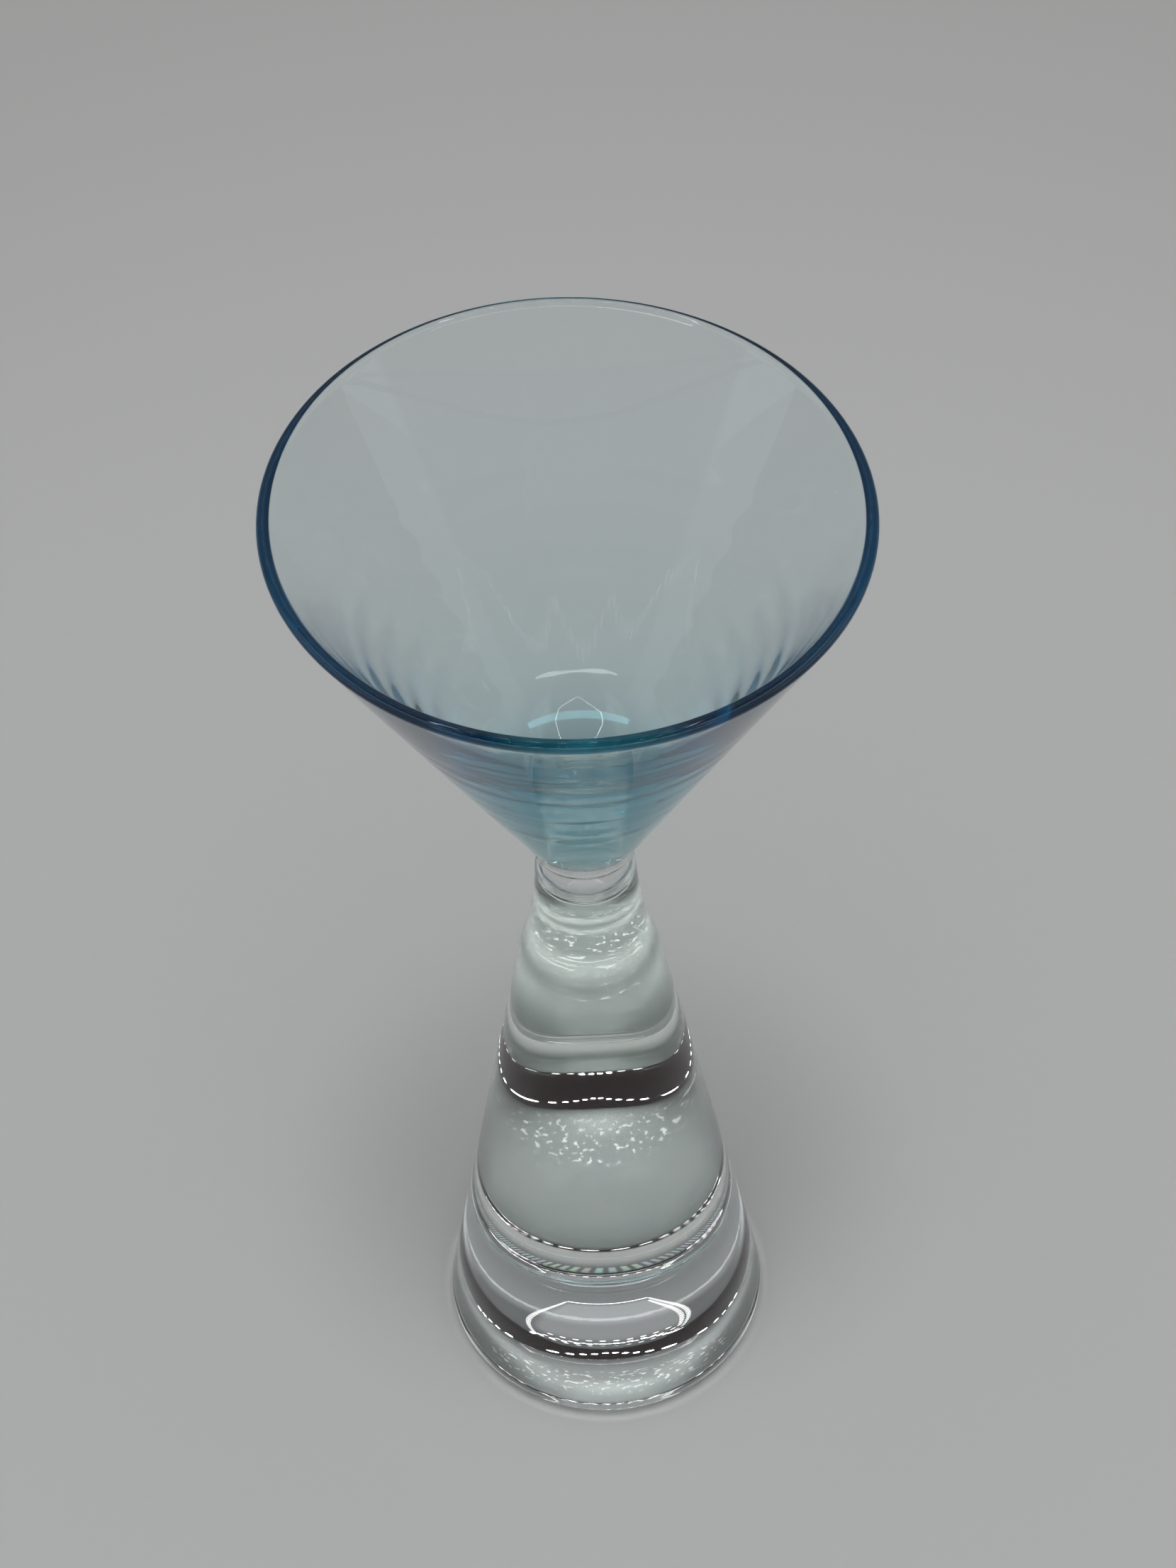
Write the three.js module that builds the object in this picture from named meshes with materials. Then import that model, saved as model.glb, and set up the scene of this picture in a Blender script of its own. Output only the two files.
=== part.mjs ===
// A hand-made liqueur glass: a thin blown cone of aqua glass, a small clear collar under it, and a
// heavy solid cone of clear glass that is stem and foot in one. The three are fused on flat seams.
// Millimetres, +Z up, origin at the centre of the ring that the glass stands on.
import * as THREE from 'three';

// Foot: the solid clear cone.
const footHeight = 84.25;
const baseRadius = 19; // widest, just above the heel
const heelRadius = 2.5; // rounding from the side to the base
const standRing = 1.5; // width of the flat ring that the glass stands on
const hollowDepth = 2.5; // of the ground hollow inside that ring, on the axis
const footTopRadius = 5.3; // where the straight side would reach the top
const neckHeight = 14.25; // of the curve from the straight side up to the waist
const neckBend = 8.55; // how far below the top the tangents at the curve's ends meet
const neckBendRadius = 5.9; // how far from the axis they meet

// Collar: the clear wafer between foot and bowl.
const collarHeight = 6.75;
const collarRadius = 5; // its straight side
const collarLip = 1.1; // height of the rounding from the side out to the waist
const waistRadius = 5.4; // the seam where collar and foot are fused

// Bowl: the blown aqua cone.
const bowlHeight = 48;
const rimRadius = 30;
const seatRadius = 6.6; // the seam where bowl and collar are fused
const bowlWall = 1.4; // at the rim, measured square to the wall; it thickens on the way down
const bowlFloor = 8.8; // solid glass under the hollow, on the axis
const ballRadius = 11.4; // of the round bottom of the hollow
const wallBend = 30.5; // height, above the seat, at which the inner wall turns away from the outer one
const rimSlant = 0.9; // the sheared rim stands this much high at -X, and low at +X

// Fineness of the round forms.
const sidesAround = 64;
const stepsPerCurve = 4;

const aquaGlass = new THREE.MeshStandardMaterial({ color: 0x86b9c6, roughness: 0.03, metalness: 0 });
const clearGlass = new THREE.MeshStandardMaterial({ color: 0xdde6e1, roughness: 0.03, metalness: 0 });

// Turns an outline of radius and height, drawn from the axis at the bottom, into a solid about +Z.
function turned(name, outline, material) {
  const geometry = new THREE.LatheGeometry(outline.getPoints(stepsPerCurve), sidesAround);
  geometry.rotateX(Math.PI / 2);
  const mesh = new THREE.Mesh(geometry, material.clone());
  mesh.name = name;
  return mesh;
}

// A straight side runs from a point to a circle and touches the circle on its outer side. This is the
// angle of the side's outward normal, for a point above the circle (1) or below it (-1).
function sideNormal(point, centre, radius, above) {
  const reach = point.clone().sub(centre);
  return reach.angle() - above * Math.acos(radius / reach.length());
}

// The rim is a full round on top of the wall, and the side hangs from it down to the seat.
const rimCentre = new THREE.Vector2(rimRadius - bowlWall / 2, bowlHeight - bowlWall / 2);
const bowlNormal = sideNormal(new THREE.Vector2(seatRadius, 0), rimCentre, bowlWall / 2, -1);

function makeFoot() {
  const heelCentre = new THREE.Vector2(baseRadius - heelRadius, heelRadius);
  const sideTop = new THREE.Vector2(footTopRadius, footHeight);
  const footNormal = sideNormal(sideTop, heelCentre, heelRadius, 1);
  const neckFootRadius = footTopRadius + neckHeight * Math.tan(footNormal);

  // The hollow in the base is part of a ball.
  const hollowRadius = heelCentre.x - standRing;
  const hollowBall = (hollowRadius ** 2 + hollowDepth ** 2) / (2 * hollowDepth);
  const hollowEdge = Math.acos(hollowRadius / hollowBall);

  const outline = new THREE.Path();
  outline.absarc(0, hollowDepth - hollowBall, hollowBall, Math.PI / 2, hollowEdge, true);
  outline.lineTo(heelCentre.x, 0);
  outline.absarc(heelCentre.x, heelCentre.y, heelRadius, -Math.PI / 2, footNormal, false);
  outline.lineTo(neckFootRadius, footHeight - neckHeight);
  outline.quadraticCurveTo(neckBendRadius, footHeight - neckBend, waistRadius, footHeight);
  outline.lineTo(0, footHeight);
  return turned('foot', outline, clearGlass);
}

function makeCollar() {
  // The bowl's side, carried on down, meets the collar's straight side at the knee.
  const kneeHeight = collarHeight + (seatRadius - collarRadius) / Math.tan(bowlNormal);

  const outline = new THREE.Path();
  outline.moveTo(0, 0);
  outline.lineTo(waistRadius, 0);
  outline.quadraticCurveTo(collarRadius, 0, collarRadius, collarLip);
  outline.quadraticCurveTo(collarRadius, kneeHeight, seatRadius, collarHeight);
  outline.lineTo(0, collarHeight);
  return turned('collar', outline, clearGlass);
}

function makeBowl() {
  // Inside, the wall leaves the rim along the outer wall, turns at the bend in one long curve, and ends
  // on a ball that stands on the floor.
  const across = new THREE.Vector2(Math.cos(bowlNormal), Math.sin(bowlNormal));
  const rimInside = rimCentre.clone().addScaledVector(across, -bowlWall / 2);
  const bendRadius = rimInside.x + (rimInside.y - wallBend) * Math.tan(bowlNormal);
  const bend = new THREE.Vector2(bendRadius, wallBend);
  const ballCentre = new THREE.Vector2(0, bowlFloor + ballRadius);
  const ballStart = sideNormal(bend, ballCentre, ballRadius, 1);
  const wallEndRadius = ballRadius * Math.cos(ballStart);
  const wallEndHeight = ballCentre.y + ballRadius * Math.sin(ballStart);

  const outline = new THREE.Path();
  outline.moveTo(0, 0);
  outline.lineTo(seatRadius, 0);
  outline.absarc(rimCentre.x, rimCentre.y, bowlWall / 2, bowlNormal, bowlNormal + Math.PI, false);
  outline.quadraticCurveTo(bend.x, bend.y, wallEndRadius, wallEndHeight);
  outline.absarc(0, ballCentre.y, ballRadius, ballStart, -Math.PI / 2, true);
  const bowl = turned('bowl', outline, aquaGlass);

  // The slant grows from nothing at the seat to its full amount at the rim.
  const points = bowl.geometry.getAttribute('position');
  for (let i = 0; i < points.count; i += 1) {
    const height = points.getZ(i);
    points.setZ(i, height - rimSlant * (points.getX(i) / rimRadius) * (height / bowlHeight));
  }
  return bowl;
}

const glass = new THREE.Group();
const foot = makeFoot();
const collar = makeCollar();
const bowl = makeBowl();
collar.position.z = footHeight;
bowl.position.z = footHeight + collarHeight;
glass.add(foot, collar, bowl);

export default glass;
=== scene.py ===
import math

import bmesh
import bpy
from mathutils import Euler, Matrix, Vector


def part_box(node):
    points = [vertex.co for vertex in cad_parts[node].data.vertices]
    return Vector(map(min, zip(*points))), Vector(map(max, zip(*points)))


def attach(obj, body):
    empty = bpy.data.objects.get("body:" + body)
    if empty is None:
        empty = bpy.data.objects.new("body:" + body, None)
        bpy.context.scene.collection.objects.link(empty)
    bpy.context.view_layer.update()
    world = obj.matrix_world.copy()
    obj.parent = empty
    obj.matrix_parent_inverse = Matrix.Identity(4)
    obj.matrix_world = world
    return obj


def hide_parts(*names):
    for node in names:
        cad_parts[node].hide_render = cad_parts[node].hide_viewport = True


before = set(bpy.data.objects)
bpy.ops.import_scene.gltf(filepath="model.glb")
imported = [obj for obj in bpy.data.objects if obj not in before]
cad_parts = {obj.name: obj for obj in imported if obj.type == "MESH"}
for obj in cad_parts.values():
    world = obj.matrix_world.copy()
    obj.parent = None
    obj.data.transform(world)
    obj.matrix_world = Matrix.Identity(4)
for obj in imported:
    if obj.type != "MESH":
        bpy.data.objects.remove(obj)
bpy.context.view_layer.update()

# Foot. One solid gather of clear glass, drawn out hot into a tall cone that is stem and foot in one and
# narrows to a short neck. The heel is fire-polished, and the underside is ground hollow and polished
# inside a flat ring that the glass stands on.
foot_low, foot_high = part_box("foot")
foot_height = foot_high.z - foot_low.z
base_radius = foot_high.x
heel_radius = 0.0025
stand_ring = 0.0015
hollow_depth = 0.0025
foot_top_radius = 0.0053  # where the straight side would reach the top
neck_height = 0.01425
neck_bend = 0.00855  # how far below the top the tangents at the ends of the neck's curve meet
neck_bend_radius = 0.0059
shoulder_length = 0.0015  # of the rounding where the straight side turns into the neck
waist_radius = 0.0054

sides_around = 192
sharp_angle = math.radians(40)
hollow_steps = 32
ring_steps = 3
heel_steps = 16
side_steps = 110
shoulder_steps = 8
shoulder_end = 2  # the point of the neck that the shoulder's rounding runs into
neck_steps = 24
waist_seam_steps = 4

white = (1, 1, 1, 1)
clear_tint = (0.2, 0.52, 0.33, 1)
clear_density = 2.0
glass_index = 1.5
wave_scale = 90.0
wave_detail = 1.0
wave_depth = 0.00001
smear_scale = 260.0
smear_detail = 4.0
smear_haze = 0.02


def straight(start, end, steps):
    """Points after start, up to end."""
    start, end = Vector(start), Vector(end)
    return [start.lerp(end, i / steps) for i in range(1, steps + 1)]


def arc(centre, radius, start, end, steps):
    """Points of a round corner, both ends included."""
    angles = [start + (end - start) * i / steps for i in range(steps + 1)]
    return [Vector((centre[0] + radius * math.cos(a), centre[1] + radius * math.sin(a))) for a in angles]


def swept(start, corner, end, steps):
    """Points after start, up to end, on a curve that leaves and arrives towards the corner."""
    start, corner, end = Vector(start), Vector(corner), Vector(end)
    shares = [i / steps for i in range(1, steps + 1)]
    return [start.lerp(corner, t).lerp(corner.lerp(end, t), t) for t in shares]


def side_normal(point, centre, radius, above):
    """Angle of the outward normal of a straight side from the point to a circle that it touches."""
    reach = Vector(point) - Vector(centre)
    return math.atan2(reach.y, reach.x) - above * math.acos(radius / reach.length)


def on_axis(radius, height, turn):
    """The place of a point of an outline, turned about Z."""
    return radius * math.cos(turn), radius * math.sin(turn), height


def turned(name, outline, worked=on_axis):
    """Closed mesh of an outline of radius and height, turned about Z by worked."""
    form = bmesh.new()
    rings = []
    for radius, height in outline:
        turns = [2 * math.pi * i / sides_around for i in range(sides_around)] if radius > 0 else [0]
        points = [worked(radius, height, turn) for turn in turns]
        rings.append([form.verts.new(point) for point in points])
    for low, high in zip(rings, rings[1:]):
        for i in range(sides_around):
            k = (i + 1) % sides_around
            corners = [low[i % len(low)], low[k % len(low)], high[k % len(high)], high[i % len(high)]]
            form.faces.new(dict.fromkeys(corners))
    for face in form.faces:
        face.smooth = True
    for edge in form.edges:
        edge.smooth = edge.calc_face_angle() < sharp_angle
    mesh = bpy.data.meshes.new(name)
    form.to_mesh(mesh)
    form.free()
    piece = bpy.data.objects.new(name, mesh)
    bpy.context.scene.collection.objects.link(piece)
    return piece


class Wire:
    """One output of a node: arithmetic on it adds Math nodes, and node() adds any other."""

    def __init__(self, socket):
        self.socket = socket
        self.tree = socket.id_data

    def node(self, kind, settings=None, inputs=None, output=0):
        made = self.tree.nodes.new(kind)
        for name, value in (settings or {}).items():
            setattr(made, name, value)
        for name, value in (inputs or {}).items():
            if isinstance(value, Wire):
                value.feeds(made.inputs[name])
            else:
                made.inputs[name].default_value = value
        return Wire(made.outputs[output])

    def feeds(self, socket):
        self.tree.links.new(self.socket, socket)

    def math(self, operation, first, second=0):
        return self.node("ShaderNodeMath", {"operation": operation}, {0: first, 1: second})

    def __add__(self, other):
        return self.math("ADD", self, other)

    def __radd__(self, other):
        return self.math("ADD", other, self)

    def __sub__(self, other):
        return self.math("SUBTRACT", self, other)

    def __rsub__(self, other):
        return self.math("SUBTRACT", other, self)

    def __mul__(self, other):
        return self.math("MULTIPLY", self, other)

    def __rmul__(self, other):
        return self.math("MULTIPLY", other, self)

    def __truediv__(self, other):
        return self.math("DIVIDE", self, other)

    def __rtruediv__(self, other):
        return self.math("DIVIDE", other, self)


def node_tree(owner, output_kind, coordinates):
    """Empties the owner's node tree, and gives its output node and the coordinates asked for."""
    owner.use_nodes = True
    nodes = owner.node_tree.nodes
    nodes.clear()
    return nodes.new(output_kind), Wire(nodes.new("ShaderNodeTexCoord").outputs[coordinates])


def glass(name, tint, density):
    """Polished glass with faint waves and smears, coloured only by how thick it is."""
    material = bpy.data.materials.new(name)
    output, place = node_tree(material, "ShaderNodeOutputMaterial", "Object")
    waves = place.node(
        "ShaderNodeTexNoise", None, {"Vector": place, "Scale": wave_scale, "Detail": wave_detail}
    )
    smears = place.node(
        "ShaderNodeTexNoise", None, {"Vector": place, "Scale": smear_scale, "Detail": smear_detail}
    )
    bump = place.node("ShaderNodeBump", None, {"Height": waves, "Strength": 1.0, "Distance": wave_depth})
    surface = place.node(
        "ShaderNodeBsdfPrincipled",
        None,
        {
            "Base Color": white,
            "Roughness": smears * smear_haze,
            "IOR": glass_index,
            "Transmission Weight": 1.0,
            "Normal": bump,
        },
    )
    body = place.node("ShaderNodeVolumeAbsorption", None, {"Color": tint, "Density": density})
    surface.feeds(output.inputs["Surface"])
    body.feeds(output.inputs["Volume"])
    return material


heel_centre = (base_radius - heel_radius, heel_radius)
foot_normal = side_normal((foot_top_radius, foot_height), heel_centre, heel_radius, 1)
hollow_radius = heel_centre[0] - stand_ring
hollow_ball = (hollow_radius**2 + hollow_depth**2) / (2 * hollow_depth)
hollow_edge = math.acos(hollow_radius / hollow_ball)
hollow = arc((0, hollow_depth - hollow_ball), hollow_ball, math.pi / 2, hollow_edge, hollow_steps)
shoulder = Vector((foot_top_radius + neck_height * math.tan(foot_normal), foot_height - neck_height))
neck = swept(
    shoulder, (neck_bend_radius, foot_height - neck_bend), (waist_radius, foot_height), neck_steps
)

foot_outline = [Vector((0, hollow_depth))] + hollow[1:]
foot_outline += straight(foot_outline[-1], (heel_centre[0], 0), ring_steps)
foot_outline += arc(heel_centre, heel_radius, -math.pi / 2, foot_normal, heel_steps)[1:]
shoulder_start = shoulder + (foot_outline[-1] - shoulder).normalized() * shoulder_length
foot_outline += straight(foot_outline[-1], shoulder_start, side_steps)
foot_outline += swept(shoulder_start, shoulder, neck[shoulder_end], shoulder_steps)
foot_outline += neck[shoulder_end + 1 :]
foot_outline += straight(foot_outline[-1], (0, foot_height), waist_seam_steps)

clear_glass = glass("clear_glass", clear_tint, clear_density)
foot = turned("clear_foot", foot_outline)
foot.data.materials.append(clear_glass)
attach(foot, "root")
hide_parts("foot")

# Collar. A small wafer of the same clear glass, dropped hot between foot and bowl to fuse them. Its side
# draws in from the waist, where it meets the foot, and sweeps out again into the slope of the bowl.
collar_low, collar_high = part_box("collar")
seat_radius = collar_high.x
collar_radius = 0.005
collar_lip = 0.0011
fused_depth = 0.00003  # fused pieces reach this far into each other, so that no film of air is left
lip_steps = 8
sweep_steps = 16
seat_seam_steps = 5

# The slope that the collar ends on is the bowl's, from the round of the rim down to the seat.
bowl_low, bowl_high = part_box("bowl")
rim_radius = bowl_high.x
bowl_height = 0.048
bowl_wall = 0.0014
rim_centre = (rim_radius - bowl_wall / 2, bowl_low.z + bowl_height - bowl_wall / 2)
bowl_normal = side_normal((seat_radius, bowl_low.z), rim_centre, bowl_wall / 2, -1)

collar_bottom = collar_low.z - fused_depth
knee = (collar_radius, collar_high.z + (seat_radius - collar_radius) / math.tan(bowl_normal))
lip_top = (collar_radius, collar_low.z + collar_lip)
collar_outline = [Vector((0, collar_bottom))]
collar_outline += straight(
    (0, collar_bottom), (waist_radius - fused_depth, collar_bottom), waist_seam_steps
)
collar_outline.append(Vector((waist_radius, collar_low.z)))
collar_outline += swept(collar_outline[-1], (collar_radius, collar_low.z), lip_top, lip_steps)
collar_outline += swept(collar_outline[-1], knee, (seat_radius, collar_high.z), sweep_steps)
collar_outline += straight(collar_outline[-1], (0, collar_high.z), seat_seam_steps)

collar = turned("clear_collar", collar_outline)
collar.data.materials.append(clear_glass)
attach(collar, "root")
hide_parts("collar")

# Bowl. A thin cone of aqua glass, blown and spun out straight, its rim sheared and melted round. The
# shears left the rim a little higher on one side, and the tools left faint rings round the lower wall.
bowl_floor = 0.0088
ball_radius = 0.0114  # of the round bottom of the hollow
wall_bend = 0.0305  # height above the seat at which the inner wall turns away from the outer one
rim_slant = 0.0009
tool_rings_from = 0.0135  # height of the lowest ring above the seat
tool_ring_pitch = 0.0042
tool_ring_count = 5
tool_ring_depth = 0.00003
wall_steps = 150
rim_steps = 16
inner_wall_steps = 90
ball_steps = 24
aqua_tint = (0.0, 0.645, 0.752, 1)
aqua_density = 64.0


def slanted(radius, height, turn):
    """The place of a point of the bowl, let down on one side in step with its height."""
    x, y, z = on_axis(radius, height, turn)
    return x, y, z - rim_slant * (x / rim_radius) * (z - bowl_low.z) / bowl_height


def ringed(point):
    """A point of the outer wall, sunk where the tools left a ring."""
    along = (point.y - bowl_low.z - tool_rings_from) / tool_ring_pitch
    if 0 < along < tool_ring_count:
        return Vector((point.x - tool_ring_depth * (1 - math.cos(2 * math.pi * along)) / 2, point.y))
    return point


bowl_bottom = bowl_low.z - fused_depth
rim = arc(rim_centre, bowl_wall / 2, bowl_normal, bowl_normal + math.pi, rim_steps)
wall_along = Vector((math.sin(bowl_normal), -math.cos(bowl_normal)))
bend = rim[-1] + wall_along * (rim[-1].y - bowl_low.z - wall_bend) / math.cos(bowl_normal)
ball_centre = Vector((0, bowl_low.z + bowl_floor + ball_radius))
ball_from = side_normal(bend, ball_centre, ball_radius, 1)
ball = arc(ball_centre, ball_radius, ball_from, -math.pi / 2, ball_steps)

bowl_outline = [Vector((0, bowl_bottom))]
bowl_outline += straight((0, bowl_bottom), (seat_radius - fused_depth, bowl_bottom), seat_seam_steps)
bowl_outline.append(Vector((seat_radius, bowl_low.z)))
bowl_outline += [ringed(point) for point in straight(bowl_outline[-1], rim[0], wall_steps)]
bowl_outline += rim[1:]
bowl_outline += swept(rim[-1], bend, ball[0], inner_wall_steps)
bowl_outline += ball[1:-1]
bowl_outline.append(Vector((0, ball[-1].y)))

aqua_glass = glass("aqua_glass", aqua_tint, aqua_density)
bowl = turned("aqua_bowl", bowl_outline, slanted)
bowl.data.materials.append(aqua_glass)
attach(bowl, "root")
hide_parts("bowl")

# Table. A plain pale grey board that the glass stands on, a hair below its ground base. Its colour is
# painted with shade round and under the foot and far from the glass, and with the light that the clear
# glass gathers
# there: a painted bright patch with painted glints at the front, and a row of painted bright beads of lamp
# light at the back.
table_reach = 3.0
table_sides = 64
table_gap = 0.00005
table_colour = (0.376, 0.380, 0.378, 1)
# Far from the glass the board is painted darker: a painted shade where its light falls off.
far_shade_colour = (0.300, 0.301, 0.297, 1)
far_shade_span = (0.10, 0.32)
under_foot = (0.0165, 0.0185)  # the foot covers the table as far out as this

# Each pair of distances is a stretch over which a colour fades in or out. The shades below are painted
# shade:
# round and behind the foot, under its hollow, under the heel, and at the sides under the foot.
shade_colour = (0.325, 0.328, 0.326, 1)
shade_inner = (0.0120, 0.0135)
shade_outer = (0.020, 0.045)
shade_place = (0, 0.015, 0)
hollow_shade_colour = (0.280, 0.283, 0.281, 1)
hollow_shade_outer = (0.0040, 0.0135)
heel_shade_colour = (0.270, 0.273, 0.270, 1)
heel_shade_inner = (0.0160, 0.0170)
heel_shade_outer = (0.0180, 0.0195)
side_shade_colour = (0.160, 0.163, 0.160, 1)
side_shade_inner = (0.0060, 0.0105)

# Painted light: the bright patch that the foot gathers on the table at its front.
gathered_light_colour = (0.470, 0.475, 0.470, 1)
gathered_light_place = (0, -0.0139, 0)
gathered_light_narrowing = (1.4, 1, 1)
gathered_light_outer = (0.0040, 0.0095)
# Painted glints of light in that painted patch.
glint_colour = (0.75, 0.75, 0.74, 1)
glint_stretch = (1500, 900, 0)
glint_detail = 2.0
glint_edge = (0.58, 0.63)
glint_place = (0, -0.0055, 0)
glint_narrowing = (0.6, 1, 1)
glint_outer = (0.0045, 0.0075)
# Painted beads of lamp light that the heel casts on the table round its back.
light_bead_count = 560
light_bead_ring = 0.0181
light_bead_length = (0.0003, 0.0006)
light_bead_edge = (0.10, 0.35)
light_bead_back = (0.0135, 0.0165)
light_bead_pallor = 0.75

table_form = bmesh.new()
bmesh.ops.create_circle(table_form, cap_ends=True, radius=table_reach, segments=table_sides)
table_mesh = bpy.data.meshes.new("table")
table_form.to_mesh(table_mesh)
table_form.free()
table = bpy.data.objects.new("table", table_mesh)
table.location.z = -table_gap
bpy.context.scene.collection.objects.link(table)


def eased(value, span):
    """Goes smoothly from 0 to 1 as the value goes from one end of the span to the other."""
    ends = {"Value": value, "From Min": span[0], "From Max": span[1]}
    return value.node("ShaderNodeMapRange", {"interpolation_type": "SMOOTHSTEP"}, ends)


def within(value, span):
    """1 below the span and 0 above it."""
    return 1 - eased(value, span)


def parts(vector, axes):
    """The parts of a vector along the axes."""
    return [vector.node("ShaderNodeSeparateXYZ", None, {"Vector": vector}, axis) for axis in axes]


def vector_math(operation, first, second, output="Vector"):
    """One Vector Math node."""
    return first.node("ShaderNodeVectorMath", {"operation": operation}, {0: first, 1: second}, output)


def apart(place, centre, narrowing=(1, 1, 1)):
    """How far a place lies from the centre, measured longer along the axes that are narrowed."""
    return vector_math("DISTANCE", vector_math("MULTIPLY", place, narrowing), centre, "Value")


# The Mix node's sockets for colours, by number: its sockets for other kinds have the same names.
first_colour = 6
second_colour = 7
mixed_colour = 2


def mixed(share, first, second):
    """The first colour where the share is 0, and the second where it is 1."""
    colours = {"Factor": share, first_colour: first, second_colour: second}
    return share.node("ShaderNodeMix", {"data_type": "RGBA"}, colours, mixed_colour)


def paled(hue, pallor):
    """A hue mixed with white."""
    colours = {"Factor": pallor, first_colour: hue, second_colour: white}
    return hue.node("ShaderNodeMix", {"data_type": "RGBA"}, colours, mixed_colour)


board = bpy.data.materials.new("board")
output, place = node_tree(board, "ShaderNodeOutputMaterial", "Object")
across, behind = parts(place, "XY")
out = apart(place, (0, 0, 0))
covered = within(out, under_foot)

# Painted shade round and behind the foot, under the hollow and the heel, at the sides under it, and far
# off.
shade = eased(out, shade_inner) * within(apart(place, shade_place), shade_outer)
heel_shade = eased(out, heel_shade_inner) * within(out, heel_shade_outer)
side_shade = eased(across.math("ABSOLUTE", across), side_shade_inner) * covered
board_colour = mixed(shade, table_colour, shade_colour)
board_colour = mixed(eased(out, far_shade_span), board_colour, far_shade_colour)
board_colour = mixed(within(out, hollow_shade_outer), board_colour, hollow_shade_colour)
board_colour = mixed(heel_shade, board_colour, heel_shade_colour)
board_colour = mixed(side_shade, board_colour, side_shade_colour)

# Painted light that the foot gathers at its front.
gathered_light = within(apart(place, gathered_light_place, gathered_light_narrowing), gathered_light_outer) * covered
# Painted glints: noise spots of near-white in the painted patch of light.
stretched = vector_math("MULTIPLY", place, glint_stretch)
glint_noise = place.node(
    "ShaderNodeTexNoise", None, {"Vector": stretched, "Scale": 1.0, "Detail": glint_detail}
)
glints = eased(glint_noise, glint_edge) * within(apart(place, glint_place, glint_narrowing), glint_outer)
board_colour = mixed(gathered_light, board_colour, gathered_light_colour)
board_colour = mixed(glints, board_colour, glint_colour)

# Painted beads of lamp light, each a pale random hue, in a ring round the back of the heel.
turn = out.math("ARCTAN2", behind, across) * (light_bead_count / (2 * math.pi))
off_ring = out.math("ABSOLUTE", out - light_bead_ring)
light_beads = eased(turn.math("PINGPONG", turn, 0.5), light_bead_edge) * within(off_ring, light_bead_length)
light_beads = light_beads * eased(behind, light_bead_back)
light_bead_number = turn.math("FLOOR", turn)
light_bead_hue = turn.node("ShaderNodeTexWhiteNoise", {"noise_dimensions": "1D"}, {"W": light_bead_number}, "Color")
board_colour = mixed(light_beads, board_colour, paled(light_bead_hue, light_bead_pallor))

board_looks = {"Base Color": board_colour, "Roughness": 1.0, "Specular IOR Level": 0.0}
place.node("ShaderNodeBsdfPrincipled", None, board_looks).feeds(output.inputs["Surface"])
table.data.materials.append(board)

# Light. A white cloth tent with a bright roof that leans over the camera, and a dark mouth that it looks
# through. What the glass shows of the tent is drawn apart from what the tent sheds on the table: grey
# walls, paler flanks and low sides, a lit panel, and runs of small lamps in the roof and in front.
roof_level = 3.5
wall_level = 0.25
roof_towards = Vector((0, -0.35, 0.94)).normalized()
roof_span = (0.78, 0.93)
backdrop_level = 1.09

# Each pair of numbers is a stretch over which a level fades in or out, along one part of the direction
# that is looked in, or for the panel across or back in the roof.
cloth_colour = (0.96, 1.0, 1.03, 1)
wall_low = 0.15
wall_high = 0.30
wall_top_drop = 0.13
wall_top = (0.74, 0.82)
flank_gain = 0.80
flank_rise = (0.50, 0.60)
flank_fall = (0.75, 0.85)
flank_side = (0.40, 0.52)
flank_back = (0.15, 0.38)
front_gain = 0.30
side_gain = 0.65
side_front = (-0.45, -0.40)
side_back = (0.0, 0.5)
side_top = (0.2, 0.5)
panel_gain = 0.16
panel_side = (0.24, 0.30)
panel_near = (0.20, 0.40)
panel_far = (1.60, 1.80)
mouth_colour = (0.008, 0.001, 0.002, 1)
mouth_towards = Vector((0, -0.64, 0.77)).normalized()
mouth_span = (math.cos(math.radians(34)), math.cos(math.radians(28)))

# Each run of lamps goes straight from one place to the next. In the roof, places are measured across and
# back, one unit above the glass; in front, across and up, one unit ahead of it.
ring_level = 20.0
frame_level = 2.5
row_level = 6.0
lamp_pitch = 0.05
small_lamp = 0.012
large_lamp = 0.030
lamp_pallor = 0.8
ring_front = ((-0.47, -0.44), (0, -0.92), (0.42, -0.60), (0.46, -0.30))
ring_back = ((0.46, -0.30), (0.30, 0.15), (-0.15, 0.24), (-0.46, -0.20), (-0.47, -0.44))
frame_outer = ((-0.30, 1.80), (-0.30, 0.12), (0.30, 0.12), (0.30, 1.80))
frame_inner = ((0.27, 0.21), (-0.27, 0.21), (-0.27, 1.60))
frame_inmost = ((0.24, 0.30), (-0.24, 0.30))
frame_far = ((-0.30, 1.85), (0.30, 1.85))
front_row = ((-1.0, 0.295), (1.0, 0.295))
least_rise = 0.01  # keeps places finite towards the horizon


def lamps(place, run, radius):
    """1 where a run of lamps of that radius has a lamp."""
    lit = 0
    for start, end in zip(run, run[1:]):
        start, end = Vector(start), Vector(end)
        length = (end - start).length
        pitch = length / round(length / lamp_pitch)
        step = (end - start) / length
        x, y = place[0] - start.x, place[1] - start.y
        along = x * step.x + y * step.y
        aside = y * step.x - x * step.y
        off = (along.math("FRACT", along / pitch) - 0.5) * pitch
        spot = along.math("LESS_THAN", off * off + aside * aside, radius**2)
        lit = spot * along.math("GREATER_THAN", along) * along.math("LESS_THAN", along, length) + lit
    return lit


def glow(towards, colour, strength):
    """Light of a colour, at a strength that may change with the direction."""
    return towards.node("ShaderNodeBackground", None, {"Color": colour, "Strength": strength})


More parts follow.
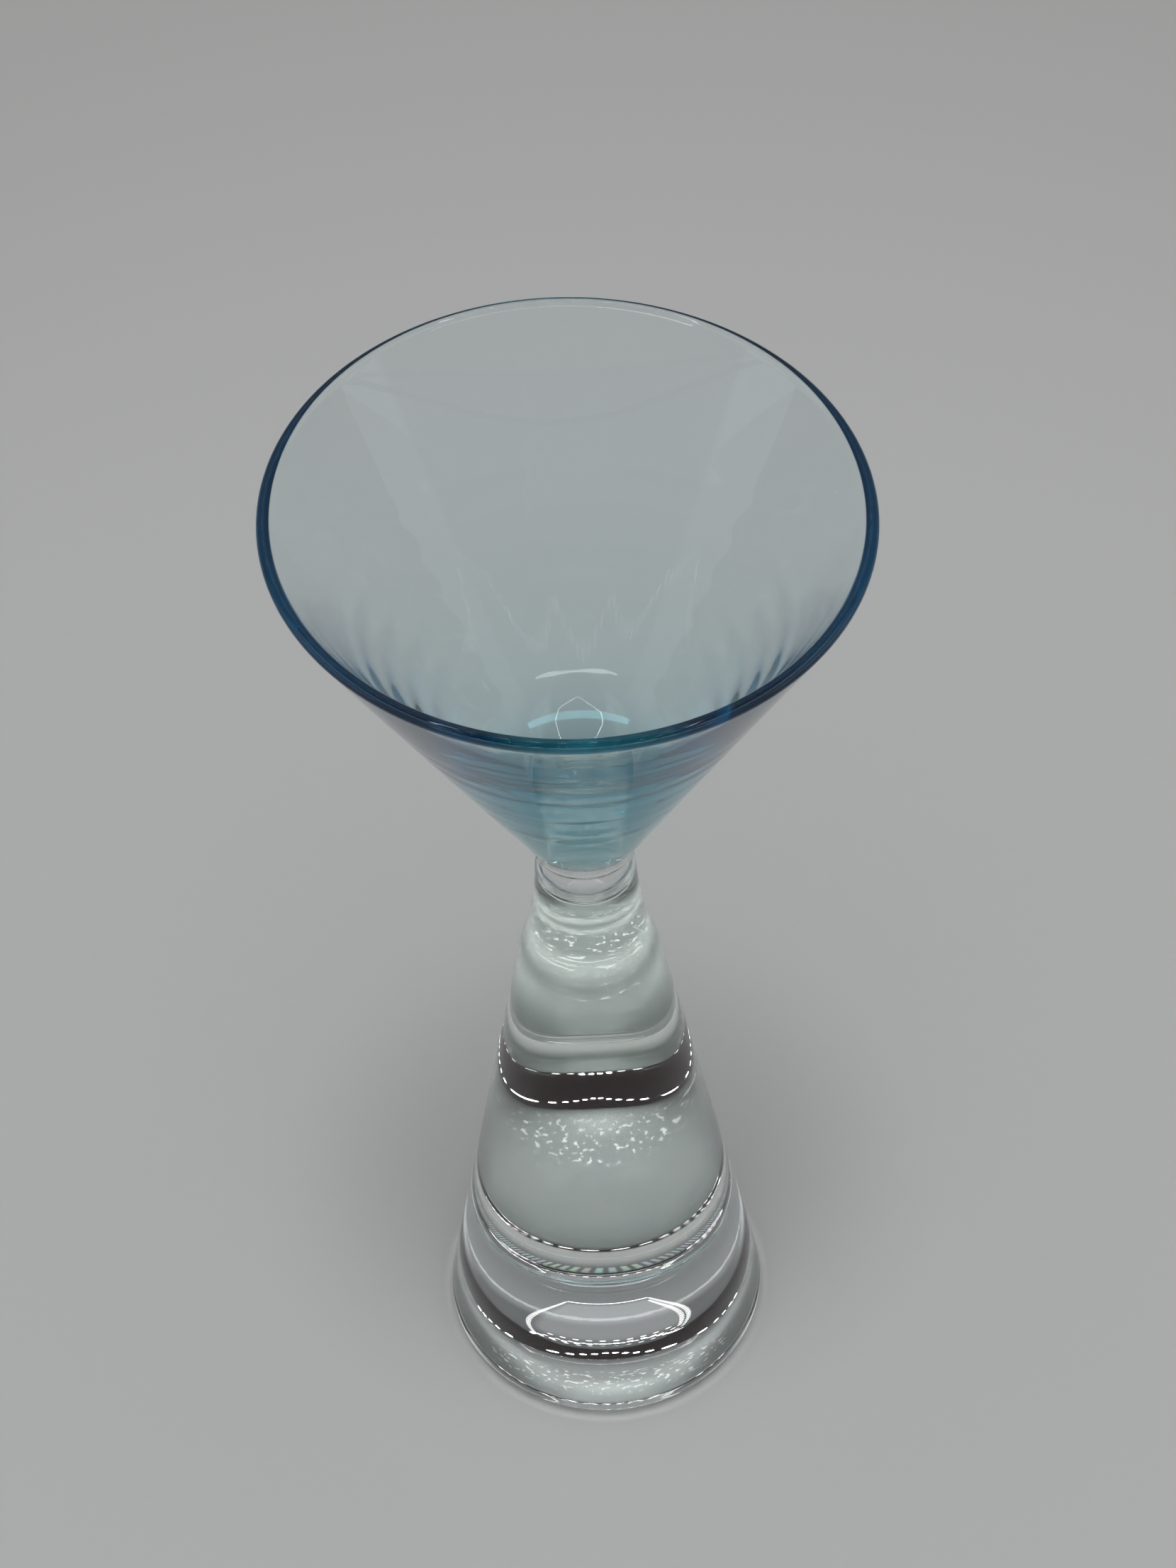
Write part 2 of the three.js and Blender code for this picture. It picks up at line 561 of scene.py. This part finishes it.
world = bpy.data.worlds.new("tent")
bpy.context.scene.world = world
world.cycles.sampling_method = "NONE"
output, towards = node_tree(world, "ShaderNodeOutputWorld", "Generated")
right, back, rise = parts(towards, "XYZ")
roof_up = rise.math("MAXIMUM", rise, least_rise)
roof_place = (right / roof_up, back / roof_up)
ahead = back.math("MAXIMUM", 0 - back, least_rise)
front_place = (right / ahead, rise / ahead)

flank = eased(rise, flank_rise) * within(rise, flank_fall)
flank = flank * eased(right.math("ABSOLUTE", right), flank_side) * within(back, flank_back)
low = within(rise, side_top) * within(back, side_back)
panel = within(right.math("ABSOLUTE", roof_place[0]), panel_side)
panel = panel * eased(roof_place[1], panel_near) * within(roof_place[1], panel_far)
walls = rise * (wall_high - wall_low) + wall_low - eased(rise, wall_top) * wall_top_drop
walls = walls + flank * flank_gain + panel * panel_gain
walls = walls + low * (eased(back, side_front) * (side_gain - front_gain) + front_gain)
mouth = eased(vector_math("DOT_PRODUCT", towards, mouth_towards, "Value"), mouth_span)

ring = sum(lamps(roof_place, run, small_lamp) for run in (ring_front, ring_back))
frames = sum(lamps(roof_place, run, small_lamp) for run in (frame_outer, frame_inner, frame_inmost))
frames = frames + lamps(roof_place, frame_far, large_lamp)
row = lamps(front_place, front_row, large_lamp)
lamp_strength = ring * ring_level + frames * frame_level + row * row_level
cells = vector_math("SNAP", towards, (lamp_pitch, lamp_pitch, lamp_pitch))
hues = towards.node("ShaderNodeTexWhiteNoise", None, {"Vector": cells}, "Color")

cloth = glow(towards, cloth_colour, walls)
dark = glow(towards, mouth_colour, 1.0)
spots = glow(towards, paled(hues, lamp_pallor), lamp_strength)
shown = towards.node("ShaderNodeMixShader", None, {0: mouth, 1: cloth, 2: dark})
shown = towards.node("ShaderNodeAddShader", None, {0: shown, 1: spots})
overhead = vector_math("DOT_PRODUCT", towards, roof_towards, "Value")
shed = glow(towards, white, eased(overhead, roof_span) * (roof_level - wall_level) + wall_level)
# The backdrop has the colour of the board's painted far shade.
backdrop = glow(towards, far_shade_colour, backdrop_level)

scatters = towards.node("ShaderNodeLightPath", None, None, "Diffuse Depth")
scattered = scatters.math("GREATER_THAN", scatters)
seen = towards.node("ShaderNodeLightPath", None, None, "Is Camera Ray")
around = towards.node("ShaderNodeMixShader", None, {0: scattered, 1: shown, 2: shed})
around = towards.node("ShaderNodeMixShader", None, {0: seen, 1: around, 2: backdrop})
around.feeds(output.inputs["Surface"])

# Camera. It is held by hand in front of the tent, a little out of level, and looks down into the bowl.
# Light is followed through all the faces of the glass that it meets.
image_height = 2212
focal_pixels = 5432
film_height = 36
nearest_seen = 0.01
eye_place = Vector((0, -0.256326, 0.407698))
eye_target = Vector((0.00069, 0, 0.09737))
eye_roll = math.radians(-2.786)
glass_bounces = 128
table_bounces = 3

eye_data = bpy.data.cameras.new("eye")
eye_data.sensor_width = film_height
eye_data.lens = focal_pixels / image_height * film_height
eye_data.clip_start = nearest_seen
eye = bpy.data.objects.new("eye", eye_data)
eye.location = eye_place
aim = (eye_target - eye_place).to_track_quat("-Z", "Y")
eye.rotation_mode = "QUATERNION"
eye.rotation_quaternion = aim @ Euler((0, 0, eye_roll)).to_quaternion()
bpy.context.scene.collection.objects.link(eye)
bpy.context.scene.camera = eye

bpy.context.scene.view_settings.view_transform = "Standard"
cycles = bpy.context.scene.cycles
cycles.max_bounces = glass_bounces
cycles.transmission_bounces = glass_bounces
cycles.glossy_bounces = glass_bounces
cycles.diffuse_bounces = table_bounces
cycles.sample_clamp_indirect = 0.0
cycles.blur_glossy = 0.0
cycles.use_denoising = True
